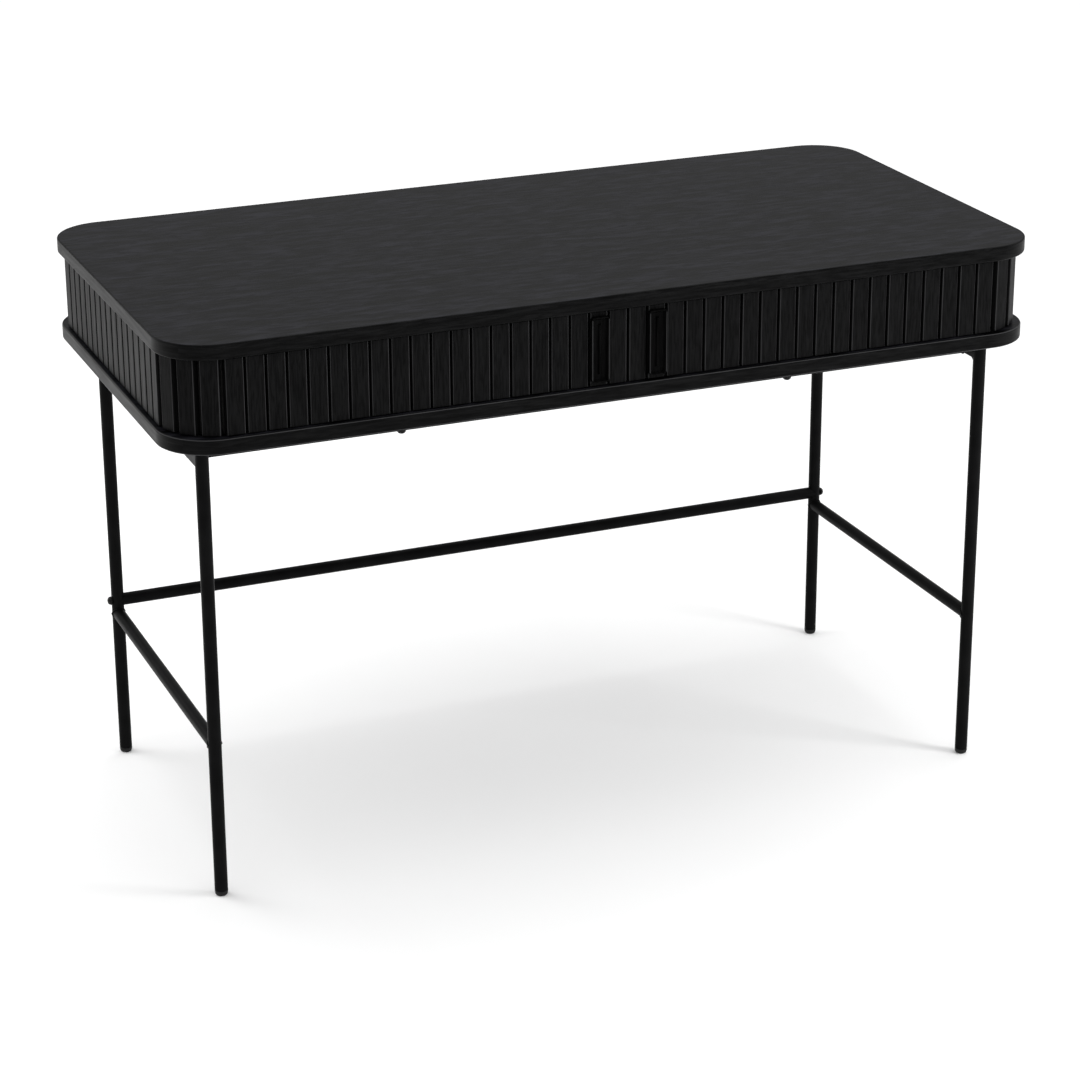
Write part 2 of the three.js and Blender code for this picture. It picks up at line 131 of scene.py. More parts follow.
class Solids:
    """Collects closed lofts for one mesh."""

    def __init__(self):
        self.vertices = []
        self.faces = []
        self.coordinates = []
        self.highlighted = []

    def loft(self, rings, looped=False, shift=0.0, has_highlight=lambda span, place: False):
        """Joins rings with equal counts of points.

        The grain runs from ring to ring, and `shift` moves its pattern. The last argument says which faces
        carry a painted edge highlight, by the stretch between rings and the place round the ring.
        """
        first = len(self.vertices)
        count = len(rings[0])
        along = 0.0
        for index, ring in enumerate(rings):
            if index:
                along += (Vector(ring[0]) - Vector(rings[index - 1][0])).length
            around = 0.0
            for place, point in enumerate(ring):
                if place:
                    around += (Vector(point) - Vector(ring[place - 1])).length
                self.vertices.append(Vector(point))
                self.coordinates.append((along + 3.1 * shift, around + shift))
        spans = len(rings) if looped else len(rings) - 1
        for span in range(spans):
            here = first + span * count
            there = first + (span + 1) % len(rings) * count
            for place in range(count):
                after = (place + 1) % count
                self.faces.append((here + place, here + after, there + after, there + place))
                self.highlighted.append(1.0 if has_highlight(span, place) else 0.0)
        if not looped:
            last = first + (len(rings) - 1) * count
            self.faces.append(tuple(reversed(range(first, first + count))))
            self.faces.append(tuple(range(last, last + count)))
            self.highlighted += [0.0, 0.0]

    def piece(self, name):
        return new_piece(name, self.vertices, self.faces, self.coordinates, self.highlighted)


def arc(start, end, steps):
    """Fractions of a turn from one angle to another."""
    return [start + (end - start) * step / steps for step in range(steps + 1)]


def filleted(corners, steps=FILLET_STEPS):
    """A closed outline from corners (x, y, radius), with each corner rounded."""
    outline = []
    for index, (x, y, radius) in enumerate(corners):
        corner = Vector((x, y))
        if radius <= 0:
            outline.append(corner)
            continue
        back = (Vector(corners[index - 1][:2]) - corner).normalized()
        ahead = (Vector(corners[(index + 1) % len(corners)][:2]) - corner).normalized()
        half = back.angle(ahead) / 2
        centre = corner + (back + ahead).normalized() * radius / math.sin(half)
        start = corner + back * radius / math.tan(half) - centre
        end = corner + ahead * radius / math.tan(half) - centre
        turn = start.angle(end)
        for step in range(steps + 1):
            share = step / steps
            mixed = start * math.sin((1 - share) * turn) + end * math.sin(share * turn)
            outline.append(centre + mixed / math.sin(turn))
    return outline


def rectangle(half_x, half_y, radius, steps=FILLET_STEPS):
    corners = [(half_x, -half_y), (half_x, half_y), (-half_x, half_y), (-half_x, -half_y)]
    return filleted([(x, y, radius) for x, y in corners], steps)


def circle(radius, sides=48):
    turns = arc(0, 2 * math.pi, sides)[:-1]
    return [Vector((radius * math.cos(turn), radius * math.sin(turn))) for turn in turns]


# ---- materials -----------------------------------------------------------------------------------
def new_material(name, base, roughness, specular):
    material = bpy.data.materials.new(name)
    material.use_nodes = True
    shader = material.node_tree.nodes["Principled BSDF"]
    shader.inputs["Base Color"].default_value = (*base, 1)
    shader.inputs["Roughness"].default_value = roughness
    shader.inputs["Specular IOR Level"].default_value = specular
    return material, material.node_tree, shader


def add_node(tree, kind, **values):
    node = tree.nodes.new(kind)
    for key, value in values.items():
        if key in node.inputs:
            node.inputs[key].default_value = value
        else:
            setattr(node, key, value)
    return node


def scaled_noise(tree, source, scale, detail=3.0, roughness=0.55, distortion=0.0):
    """Noise over coordinates that are stretched by `scale`."""
    mapping = add_node(tree, "ShaderNodeMapping")
    mapping.inputs["Scale"].default_value = scale
    tree.links.new(source, mapping.inputs["Vector"])
    noise = add_node(tree, "ShaderNodeTexNoise")
    noise.inputs["Scale"].default_value = 1.0
    noise.inputs["Detail"].default_value = detail
    noise.inputs["Roughness"].default_value = roughness
    noise.inputs["Distortion"].default_value = distortion
    tree.links.new(mapping.outputs["Vector"], noise.inputs["Vector"])
    return noise.outputs["Fac"]


def ramped(tree, factor, stops):
    """A colour ramp with (place, colour) stops."""
    ramp = add_node(tree, "ShaderNodeValToRGB")
    elements = ramp.color_ramp.elements
    while len(elements) < len(stops):
        elements.new(0.5)
    for element, (place, colour) in zip(elements, stops):
        element.position = place
        element.color = (*colour, 1)
    tree.links.new(factor, ramp.inputs["Fac"])
    return ramp.outputs["Color"]


NOISE_LOW = 0.3  # most of the noise lies between these two
NOISE_HIGH = 0.7


def spread(tree, factor, low, high):
    """A factor mapped on a range."""
    node = add_node(tree, "ShaderNodeMapRange")
    node.inputs["From Min"].default_value = NOISE_LOW
    node.inputs["From Max"].default_value = NOISE_HIGH
    node.inputs["To Min"].default_value = low
    node.inputs["To Max"].default_value = high
    tree.links.new(factor, node.inputs["Value"])
    return node.outputs["Result"]


def bumped(tree, shader, height, distance):
    bump = add_node(tree, "ShaderNodeBump")
    bump.inputs["Strength"].default_value = 1.0
    bump.inputs["Distance"].default_value = distance
    tree.links.new(height, bump.inputs["Height"])
    tree.links.new(bump.outputs["Normal"], shader.inputs["Normal"])


def blended(tree, first, second, factor, mode="MIX"):
    node = add_node(tree, "ShaderNodeMix", data_type="RGBA", blend_type=mode)
    node.inputs["Factor"].default_value = factor
    tree.links.new(first, node.inputs["A"])
    tree.links.new(second, node.inputs["B"])
    return node.outputs["Result"]


WHITE = (1, 1, 1)
BLACK = (0, 0, 0)
SLAT_FIBRE = (13.0, 150.0)  # cells of noise per metre, along and across the grain
SLAT_PORE = (38.0, 480.0)
VENEER_FIBRE = (12.0, 56.0)
VENEER_PORE = (32.0, 120.0)
CLOUD = (4.0, 11.0)
PORE_SHADE = 0.35  # brightness in a pore, as a share of the wood beside it
CLOUD_SHADE = 0.82
HIGHLIGHT_DARKEST_SHARE = 0.6  # brightness of the darkest fibres in a painted edge highlight


def stained_wood(
    name, dark, light, painted_highlight, roughness, specular, relief, fibre=SLAT_FIBRE, pore=SLAT_PORE
):
    """Black-stained open-grain wood: fibres, short pores, faint clouds and a painted highlight on marked
    edges.
    """
    material, tree, shader = new_material(name, dark, roughness, specular)
    grain = add_node(tree, "ShaderNodeUVMap", uv_map=GRAIN).outputs["UV"]
    fibres = scaled_noise(tree, grain, (*fibre, 1.0), detail=4.0, roughness=0.65)
    pores = scaled_noise(tree, grain, (*pore, 1.0), detail=2.0, distortion=0.5)
    clouds = scaled_noise(tree, grain, (*CLOUD, 1.0), detail=2.0)
    fibre_colour = ramped(tree, fibres, [(0.38, dark), (0.62, light)])
    pore_colour = ramped(tree, pores, [(0.40, (PORE_SHADE,) * 3), (0.54, WHITE)])
    cloud_colour = ramped(tree, clouds, [(0.30, (CLOUD_SHADE,) * 3), (0.70, WHITE)])
    colour = blended(tree, fibre_colour, pore_colour, 0.8, "MULTIPLY")
    colour = blended(tree, colour, cloud_colour, 0.8, "MULTIPLY")
    # Marked faces take a much lighter colour: a painted highlight along edges.
    edge = add_node(tree, "ShaderNodeAttribute", attribute_name=HIGHLIGHT_ATTRIBUTE).outputs["Fac"]
    highlight_dark = tuple(HIGHLIGHT_DARKEST_SHARE * value for value in painted_highlight)
    highlight_colour = ramped(tree, fibres, [(0.3, highlight_dark), (0.7, painted_highlight)])
    highlighted = add_node(tree, "ShaderNodeMix", data_type="RGBA")
    tree.links.new(edge, highlighted.inputs["Factor"])
    tree.links.new(colour, highlighted.inputs["A"])
    tree.links.new(highlight_colour, highlighted.inputs["B"])
    tree.links.new(highlighted.outputs["Result"], shader.inputs["Base Color"])
    tree.links.new(spread(tree, fibres, roughness - 0.05, roughness + 0.08), shader.inputs["Roughness"])
    height = ramped(tree, blended(tree, fibres, pores, 0.5), [(0.35, BLACK), (0.6, WHITE)])
    bumped(tree, shader, height, relief)
    return material


PEEL_CELLS = 900  # cells of noise per metre
PATCH_CELLS = 35
SPARK_CELLS = 1600


def powder_coat(name, base, roughness, specular):
    """Fine orange-peel powder coat."""
    material, tree, shader = new_material(name, base, roughness, specular)
    place = add_node(tree, "ShaderNodeTexCoord").outputs["Object"]
    peel = scaled_noise(tree, place, (PEEL_CELLS,) * 3, detail=2.0)
    patches = scaled_noise(tree, place, (PATCH_CELLS,) * 3, detail=3.0)
    darker = tuple(0.75 * value for value in base)
    lighter = tuple(1.25 * value for value in base)
    tree.links.new(ramped(tree, patches, [(0.3, darker), (0.7, lighter)]), shader.inputs["Base Color"])
    tree.links.new(spread(tree, peel, roughness - 0.06, roughness + 0.06), shader.inputs["Roughness"])
    bumped(tree, shader, peel, 0.05 * MM)
    return material


def woven_canvas():
    """Black tambour canvas: a plain weave of threads at half a millimetre."""
    material, tree, shader = new_material("tambour_canvas", (0.006, 0.006, 0.006), 0.9, 0.1)
    grain = add_node(tree, "ShaderNodeUVMap", uv_map=GRAIN).outputs["UV"]
    waves = []
    for direction in ("X", "Y"):
        wave = add_node(tree, "ShaderNodeTexWave", bands_direction=direction)
        wave.inputs["Scale"].default_value = 600
        wave.inputs["Distortion"].default_value = 0.6
        tree.links.new(grain, wave.inputs["Vector"])
        waves.append(wave.outputs["Color"])
    threads = blended(tree, waves[0], waves[1], 0.5)
    thread_colour = ramped(tree, threads, [(0.2, (0.003,) * 3), (0.8, (0.011,) * 3)])
    tree.links.new(thread_colour, shader.inputs["Base Color"])
    shader.inputs["Sheen Weight"].default_value = 0.1
    bumped(tree, shader, threads, 0.15 * MM)
    return material


def moulded_plastic():
    """Matt black plastic with fine spark-erosion grain."""
    material, tree, shader = new_material("foot_plastic", (0.006, 0.006, 0.006), 0.6, 0.25)
    place = add_node(tree, "ShaderNodeTexCoord").outputs["Object"]
    spark = scaled_noise(tree, place, (SPARK_CELLS,) * 3, detail=2.0)
    spark_colour = ramped(tree, spark, [(0.3, (0.004,) * 3), (0.7, (0.009,) * 3)])
    tree.links.new(spark_colour, shader.inputs["Base Color"])
    bumped(tree, shader, spark, 0.06 * MM)
    return material


def grey(value, blue=1.03):
    return (value, value, value * blue)


VENEER_BLUE = 1.25  # the veneer's stain is a little bluish
# In each stain below, the third colour is a painted highlight for marked edges.
veneer = stained_wood(
    "stained_veneer",
    dark=grey(0.0004, VENEER_BLUE),
    light=grey(0.0145, VENEER_BLUE),
    painted_highlight=grey(0.030),
    roughness=0.36,
    specular=0.042,
    relief=0.26 * MM,
    fibre=VENEER_FIBRE,
    pore=VENEER_PORE,
)
edge_band = stained_wood(
    "stained_edge",
    dark=grey(0.0028),
    light=grey(0.0074),
    painted_highlight=grey(0.046),
    roughness=0.36,
    specular=0.040,
    relief=0.04 * MM,
)
slat_wood = stained_wood(
    "stained_slat",
    dark=grey(0.0054),
    light=grey(0.0080),
    painted_highlight=grey(0.042),
    roughness=0.40,
    specular=0.028,
    relief=0.05 * MM,
)
# The pull's stain is darker than the slats': painted shade in and round its dish.
pull_wood_painted_shade = stained_wood(
    "stained_pull_painted_shade",
    dark=grey(0.0016),
    light=grey(0.0036),
    painted_highlight=grey(0.036),
    roughness=0.40,
    specular=0.024,
    relief=0.03 * MM,
)
panel_wood = stained_wood(
    "stained_panel",
    dark=grey(0.004),
    light=grey(0.009),
    painted_highlight=grey(0.020),
    roughness=0.5,
    specular=0.1,
    relief=0.05 * MM,
)
steel = powder_coat("powder_coat", base=grey(0.0046), roughness=0.36, specular=0.026)
bolt_metal = powder_coat("black_oxide", base=grey(0.006), roughness=0.30, specular=0.12)
canvas = woven_canvas()
plastic = moulded_plastic()


def dress(piece, material, slot, body, *replaced):
    """Gives a piece its material and body, and hides the CAD nodes that it stands for. The slot is not
    used.
    """
    if not piece.data.materials:
        piece.data.materials.append(material)
    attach(piece, body)
    if replaced:
        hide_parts(*replaced)
    return piece


# ---- boards --------------------------------------------------------------------------------------
def board_ring(inset, radius, z):
    """A rounded rectangle, inset from the board's edge."""
    points = []
    for quarter in range(4):
        centre_x = (HALF_WIDTH - inset - radius) * (1 if quarter in (0, 3) else -1)
        centre_y = (HALF_DEPTH - inset - radius) * (1 if quarter in (0, 1) else -1)
        for turn in arc(quarter * math.pi / 2, (quarter + 1) * math.pi / 2, CORNER_STEPS):
            x = centre_x + radius * math.cos(turn)
            y = centre_y + radius * math.sin(turn)
            points.append(Vector((x, y, z)))
    return points


def board_rings(low, high, groove_up):
    """From the middle of one face round the edge to the middle of the other, by way of the door groove."""
    wall_out = (CANVAS_INSET - GROOVE_OUTER, CANVAS_RADIUS + GROOVE_OUTER)
    wall_in = (CANVAS_INSET - GROOVE_INNER, CANVAS_RADIUS + GROOVE_INNER)
    open_z = low if groove_up else high
    deep_z = open_z + (GROOVE_DEPTH if groove_up else -GROOVE_DEPTH)
    plain_z = high if groove_up else low
    toward = 1 if groove_up else -1
    rings = [board_ring(*wall_in, open_z), board_ring(*wall_in, deep_z)]
    rings += [board_ring(*wall_out, deep_z), board_ring(*wall_out, open_z)]
    for face_z, direction in ((open_z, toward), (plain_z, -toward)):
        turns = arc(0, math.pi / 2, ARRIS_STEPS)
        if face_z == plain_z:
            turns = turns[::-1]
        for turn in turns:
            inset = BOARD_ARRIS * (1 - math.sin(turn))
            rise = BOARD_ARRIS * (1 - math.cos(turn))
            rings.append(board_ring(inset, BOARD_CORNER_RADIUS - inset, face_z + direction * rise))
    return rings


GROOVE_RINGS = 4
INNER_ARRIS = range(GROOVE_RINGS + 2, GROOVE_RINGS + 4)  # on the face with the groove
OUTER_ARRIS = range(GROOVE_RINGS + ARRIS_STEPS + 2, GROOVE_RINGS + 2 * ARRIS_STEPS - 1)


LEDGE_MARGIN = 1 * MM
FLAT_NORMAL = 0.85  # faces this near to level are veneered and not edge band


def grained_board(name, low, high, groove_up, highlight_spans):
    """Grain runs along X on the faces and along the edge on the edges.

    The edges have the edge band, and the ledge outside the slats of a board with its groove on top has it
    as
    painted shade: a darker stain beside the slats.
    """
    solids = Solids()
    solids.loft(board_rings(low.z, high.z, groove_up), has_highlight=lambda span, place: span in highlight_spans)
    solids.coordinates = [(point.x, point.y) for point in solids.vertices]
    board = solids.piece(name)
    board.data.materials.append(veneer)
    board.data.materials.append(edge_band)
    layer = board.data.uv_layers[GRAIN]
    ledge_x = HALF_WIDTH - OVERHANG - LEDGE_MARGIN
    ledge_y = HALF_DEPTH - OVERHANG - LEDGE_MARGIN
    for face in board.data.polygons:
        beyond_slats = abs(face.center.y) > ledge_y or abs(face.center.x) > ledge_x
        # The ledge beside the slats takes the darker edge band as painted shade.
        painted_shade_ledge = not groove_up and beyond_slats and face.center.z >= high.z - LEDGE_MARGIN
        if abs(face.normal.z) > FLAT_NORMAL and not painted_shade_ledge:
            continue
        face.material_index = 1
        along_x = abs(face.normal.y) >= abs(face.normal.x)
        for loop in face.loop_indices:
            point = board.data.vertices[board.data.loops[loop].vertex_index].co
            layer.data[loop].uv = (point.x if along_x else point.y, point.z)
    return board


desk_top = grained_board("desk_top", top_low, top_high, True, [])
# The base's arrises carry a painted highlight.
desk_base = grained_board("desk_base", base_low, base_high, False, [*INNER_ARRIS, *OUTER_ARRIS])
dress(desk_top, veneer, "veneer", "carcass", "tabletop")
dress(desk_base, veneer, "veneer", "carcass", "bottom_board")


# ---- inner panels --------------------------------------------------------------------------------
PANEL_EDGE = 1.0 * MM


def upright_rings(outline_at, low_z, high_z, edge):
    """Rings up an upright solid whose ends are rounded. `outline_at` gives its plan for an inset."""
    rings = []
    for turn in arc(0, math.pi / 2, 3):
        inset = edge * (1 - math.sin(turn))
        rings.append([(*point, low_z + edge * (1 - math.cos(turn))) for point in outline_at(inset)])
    for turn in arc(math.pi / 2, 0, 3):
        inset = edge * (1 - math.sin(turn))
        rings.append([(*point, high_z - edge * (1 - math.cos(turn))) for point in outline_at(inset)])
    return rings


def flat_panel(name, node):
    low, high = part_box(node)
    middle = (low + high) / 2
    half = (high - low) / 2

    def outline_at(inset):
        radius = PANEL_EDGE - inset + 0.2 * MM
        corners = rectangle(half.x - inset, half.y - inset, radius, 3)
        return [(middle.x + point.x, middle.y + point.y) for point in corners]

    solids = Solids()
    solids.loft(upright_rings(outline_at, low.z, high.z, PANEL_EDGE))
    dress(solids.piece(name), panel_wood, "inner_panel", "carcass", node)


def curved_panel(name, node, side):
    """A quarter-round panel between the side panel and the back panel."""
    low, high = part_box(node)
    back_low, back_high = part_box("back_panel")
    _, side_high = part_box(f"{'left' if side < 0 else 'right'}_side_panel")
    thickness = back_high.y - back_low.y
    centre_x = back_high.x * side
    centre_y = side_high.y
    outer = back_high.y - centre_y
    gap = FIT / outer

    def outline_at(inset):
        bend = inset / outer
        outward = arc(gap + bend, math.pi / 2 - gap - bend, 20)
        points = [(outer - inset, turn) for turn in outward]
        points += [(outer - thickness + inset, turn) for turn in reversed(outward)]
        plan = []
        for radius, turn in points:
            plan.append((centre_x + side * radius * math.cos(turn), centre_y + radius * math.sin(turn)))
        return plan

    solids = Solids()
    solids.loft(upright_rings(outline_at, low.z, high.z, PANEL_EDGE))
    dress(solids.piece(name), panel_wood, "inner_panel", "carcass", node)


flat_panel("back_lining", "back_panel")
flat_panel("divider_panel", "centre_divider")
for word, side in HANDS:
    flat_panel(f"{word}_side_lining", f"{word}_side_panel")
    curved_panel(f"{word}_corner_lining", f"{word}_corner_panel", side)

# ---- tambour doors -------------------------------------------------------------------------------
# Seam k lies between slat k - 1 and slat k, on the canvas's inner face.
CURTAIN_GROUPS = (
    ("lead", 0, 1),
    ("slat_03", 2, 2),
    ("slat_04", 3, 3),
    ("slat_05", 4, 4),
    ("front_run", 5, 19),
    ("slat_21", 20, 20),
    ("corner_run", 21, 23),
    ("slat_25", 24, 24),
    ("side_run", 25, 39),
    ("slat_41", 40, 40),
    ("slat_42", 41, 41),
    ("slat_43", 42, 42),
)
FRONT_CORNER_SEAM = FRONT_SLATS
REAR_CORNER_SEAM = FRONT_SLATS + CORNER_SLATS + SIDE_SLATS
SLATS = REAR_CORNER_SEAM + CORNER_SLATS
SLAT_LOW_Z = base_high.z + SLAT_END_CLEARANCE
SLAT_HIGH_Z = top_low.z - SLAT_END_CLEARANCE


def is_turned(seam):
    return any(0 <= seam - corner <= CORNER_SLATS for corner in (FRONT_CORNER_SEAM, REAR_CORNER_SEAM))


seams = [Vector((0, -(HALF_DEPTH - CANVAS_INSET)))]
headings = []
heading = math.pi
for slat in range(SLATS):
    heading -= CORNER_TURN if is_turned(slat) else 0
    headings.append(heading)
    seams.append(seams[-1] + PITCH * Vector((math.cos(heading), math.sin(heading))))


def slat_point(slat, along, out, side):
    """`along` runs from the slat's first seam, and `out` from the canvas's inner face to the outside."""
    turn = headings[slat]
    x = seams[slat].x + along * math.cos(turn) - out * math.sin(turn)
    y = seams[slat].y + along * math.sin(turn) + out * math.cos(turn)
    return (-side * x, y)


def slat_profile(inset):
    """The slat's section in (along, out)."""
    start = SLAT_GAP / 2 + inset
    end = PITCH - start
    back = CANVAS_THICKNESS + inset
    face = SLAT_THICKNESS - inset
    front_radius = SLAT_EDGE_RADIUS - inset
    back_radius = 0.3 * MM
    return filleted(
        [
            (start, back, back_radius),
            (end, back, back_radius),
            (end - SLAT_CHAMFER, face, front_radius),
            (start + SLAT_CHAMFER, face, front_radius),
        ]
    )


# The middle parts of the two fillets beside the slat's face, which carry a painted highlight.
HIGHLIGHT_PLACES = [corner * (FILLET_STEPS + 1) + step for corner in (2, 3) for step in range(1, 3)]


def tongue_profile(inset):
    """The slat's section held within its tongue."""
    start = SLAT_GAP / 2 + TONGUE_SHOULDER + inset
    low = TONGUE_INNER + inset
    high = TONGUE_OUTER - inset
    held = []
    for point in slat_profile(0):
        along = min(max(point.x, start), PITCH - start)
        out = min(max(point.y, low), high)
        held.append(Vector((along, out)))
    return held


def add_slat(solids, slat, side):
    """A slat with rounded edges and ends, and a tongue at each end that runs in a board's groove."""
    ends = []
    tip = 0.5 * MM
    for depth, profile in ((TONGUE_LENGTH, tongue_profile(tip)), (TONGUE_LENGTH - tip, tongue_profile(0))):
        ends.append((-depth - SLAT_END_CLEARANCE, profile))
    ends.append((0, tongue_profile(0)))
    for turn in arc(0, math.pi / 2, 3):
        inset = SLAT_END_ROUND * (1 - math.sin(turn))
        ends.append((SLAT_END_ROUND * (1 - math.cos(turn)), slat_profile(inset)))
    sections = [(SLAT_LOW_Z + rise, profile) for rise, profile in ends]
    sections += [(SLAT_HIGH_Z - rise, profile) for rise, profile in reversed(ends)]
    rings = []
    for z, profile in sections:
        rings.append([(*slat_point(slat, point.x, point.y, side), z) for point in profile])
    # Only the front and corner slats carry the painted highlight.
    highlight_places = HIGHLIGHT_PLACES if slat < FRONT_SLATS + CORNER_SLATS else []
    shift = 0.37 * slat + (0.19 if side > 0 else 0)
    solids.loft(rings, shift=shift, has_highlight=lambda _, place: place in highlight_places)


def add_canvas(solids, first, last, side):
    """The canvas strip behind the slats, bent at the turned seams."""
    bend = CANVAS_THICKNESS * math.tan(CORNER_TURN / 2)
    inner = [slat_point(first, FIT / 2, 0, side)]
    outer = [slat_point(first, FIT / 2, CANVAS_THICKNESS, side)]
    for slat in range(first, last):
        turned = is_turned(slat + 1)
        inner.append(slat_point(slat, PITCH, 0, side))
        outer.append(slat_point(slat, PITCH + (bend if turned else 0), CANVAS_THICKNESS, side))
    inner.append(slat_point(last, PITCH - FIT / 2, 0, side))
    outer.append(slat_point(last, PITCH - FIT / 2, CANVAS_THICKNESS, side))
    outline = inner + outer[::-1]
    solids.loft([[(x, y, z) for x, y in outline] for z in (SLAT_LOW_Z, SLAT_HIGH_Z)])


HANDLE_CORNER = 3.5 * MM
HANDLE_ARRIS = 0.9 * MM
HANDLE_DISH = 5.5 * MM
HANDLE_DISH_RUN = 3.4 * MM  # how far the dish's wall slopes inwards
HANDLE_RIB = 2.6 * MM  # height of the rib along the dish's middle
HANDLE_RIB_RUN = 2.4 * MM
DISH_STEPS = 8
RIM_STEPS = 4
PULL_CORNER_STEPS = 6


def handle_sections(half_width):
    """(inset, height over the slat's face) up from the slat, over the rim and into the ribbed dish."""
    height = handle_projection
    sections = [(0, 0), (0, height - HANDLE_ARRIS)]
    for turn in arc(0, math.pi, 2 * RIM_STEPS)[1:]:
        sections.append((HANDLE_ARRIS * (1 - math.cos(turn)), height - HANDLE_ARRIS * (1 - math.sin(turn))))
    wall_start = 2 * HANDLE_ARRIS
    wall_top = height - HANDLE_ARRIS
    drop = HANDLE_DISH - HANDLE_ARRIS
    for share in arc(0, 1, DISH_STEPS)[1:]:
        inset = wall_start + share * HANDLE_DISH_RUN
        sections.append((inset, wall_top - drop * math.sin(share * math.pi / 2)))
    rib_end = half_width - 0.2 * MM
    for share in arc(0, 1, DISH_STEPS):
        rise = HANDLE_RIB * (1 - math.cos(share * math.pi)) / 2
        sections.append((rib_end - (1 - share) * HANDLE_RIB_RUN, height - HANDLE_DISH + rise))
    return sections


handle_low, handle_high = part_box("right_handle")
slat_face_y = -(HALF_DEPTH - OVERHANG)
handle_projection = slat_face_y - handle_low.y
handle_half_width = (handle_high.x - handle_low.x) / 2
handle_half_height = (handle_high.z - handle_low.z) / 2
handle_middle_x = (handle_low.x + handle_high.x) / 2
handle_middle_z = (handle_low.z + handle_high.z) / 2


def add_handle(solids, side):
    """A dished pull standing on the second slat's face."""
    rings = []
    for inset, height in handle_sections(handle_half_width):
        radius = max(HANDLE_CORNER - inset, 0.1 * MM)
        half_width = handle_half_width - inset
        half_height = handle_half_height - inset
        outline = rectangle(half_width, half_height, radius, PULL_CORNER_STEPS)
        ring = []
        for point in outline:
            ring.append((side * handle_middle_x + point.x, slat_face_y - height, handle_middle_z + point.y))
        rings.append(ring)
    # The rim's upright sides carry a painted highlight.
    upright_sides = (PULL_CORNER_STEPS, 3 * PULL_CORNER_STEPS + 2)
    solids.loft(rings, has_highlight=lambda span, place: 2 <= span <= RIM_STEPS + 1 and place in upright_sides)
    solids.coordinates = [(point.z, point.x + side) for point in solids.vertices]


for word, side in HANDS:
    for group, first, last in CURTAIN_GROUPS:
        body = f"{word}_door_{group}"
        slats = Solids()
        for slat in range(first, last + 1):
            add_slat(slats, slat, side)
        dress(slats.piece(f"{word}_slats_{group}"), slat_wood, "slat", body, f"{word}_curtain_{group}")
        cloth = Solids()
        add_canvas(cloth, first, last, side)
        dress(cloth.piece(f"{word}_canvas_{group}"), canvas, "slat", body)
    pull = Solids()
    add_handle(pull, side)
    dress(pull.piece(f"{word}_pull"), pull_wood_painted_shade, "slat", f"{word}_door_lead", f"{word}_handle")

# ---- steel frame ---------------------------------------------------------------------------------
TUBE_RADIUS = (leg_high.x - leg_low.x) / 2
TUBE_WALL = 1.5 * MM
TUBE_SIDES = 48
TUBE_LIP = 0.4 * MM
LEG_X = (leg_low.x + leg_high.x) / 2
LEG_Y = (rear_leg_low.y + rear_leg_high.y) / 2
RAIL_RADIUS = 2.2 * MM
WELD_RADIUS = 1.5 * MM
WELD_RIPPLE = 0.12
LEG_PLACES = (
    ("front_left", -LEG_X, -LEG_Y),
    ("front_right", LEG_X, -LEG_Y),
    ("rear_left", -LEG_X, LEG_Y),
    ("rear_right", LEG_X, LEG_Y),
)


def tube_rings(low, high, radius, wall, lip):
    """(radius, height) round the wall of a tube with rounded lips."""
    rings = [(radius - wall, low), (radius - lip, low), (radius, low + lip)]
    rings += [(radius, high - lip), (radius - lip, high), (radius - wall, high)]
    return rings


def turned_solid(solids, profile, x, y, looped=False, sides=TUBE_SIDES):
    rings = []
    for radius, z in profile:
        rings.append([(x + point.x, y + point.y, z) for point in circle(radius, sides)])
    solids.loft(rings, looped)


def foot_profile(low, height, stem_top):
    """A moulded foot: a domed pad, a shoulder under the tube and a stem inside it."""
    stem = TUBE_RADIUS - TUBE_WALL - FIT
    profile = [(0.55 * TUBE_RADIUS, low)]
    for turn in arc(0, math.pi / 2, 6)[1:]:
        reach = 0.55 + 0.45 * math.sin(turn)
        profile.append((reach * TUBE_RADIUS, low + (height - 1.2 * MM) * (1 - math.cos(turn)) ** 1.3))
    profile += [(TUBE_RADIUS, low + height - 0.3 * MM), (TUBE_RADIUS - 0.3 * MM, low + height)]
    profile += [(stem, low + height), (stem, stem_top - 1 * MM), (stem - 1 * MM, stem_top)]
    return profile


for place, x, y in LEG_PLACES:
    low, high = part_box(f"{place}_leg")
    leg = Solids()
    turned_solid(leg, tube_rings(low.z, high.z, TUBE_RADIUS, TUBE_WALL, TUBE_LIP), x, y, looped=True)
    dress(leg.piece(f"{place}_tube"), steel, "steel", "carcass", f"{place}_leg")
    foot_low, foot_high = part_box(f"{place}_foot")
    foot = Solids()
    turned_solid(foot, foot_profile(foot_low.z, low.z - FIT - foot_low.z, foot_high.z), x, y)
    dress(foot.piece(f"{place}_glide"), plastic, "foot", "carcass", f"{place}_foot")


def add_weld(solids, path):
    """A closed weld bead with fine ripples, along a closed path."""
    count = len(path)
    middle = sum(path, Vector()) / count
    rings = []
    for place, point in enumerate(path):
        ahead = (path[(place + 1) % count] - path[place - 1]).normalized()
        outward = (point - middle).cross(ahead).cross(ahead).normalized()
        across = ahead.cross(outward)
        swell = WELD_RADIUS * (1 + WELD_RIPPLE * math.cos(place * math.pi / 2))
        rings.append([point + swell * (spot.x * outward + spot.y * across) for spot in circle(1, 10)])
    solids.loft(rings, looped=True)


def leg_face(offset):
    """How far a leg's surface stands from its axis, at a sideways offset."""
    return math.sqrt(max(TUBE_RADIUS**2 - offset**2, 0))


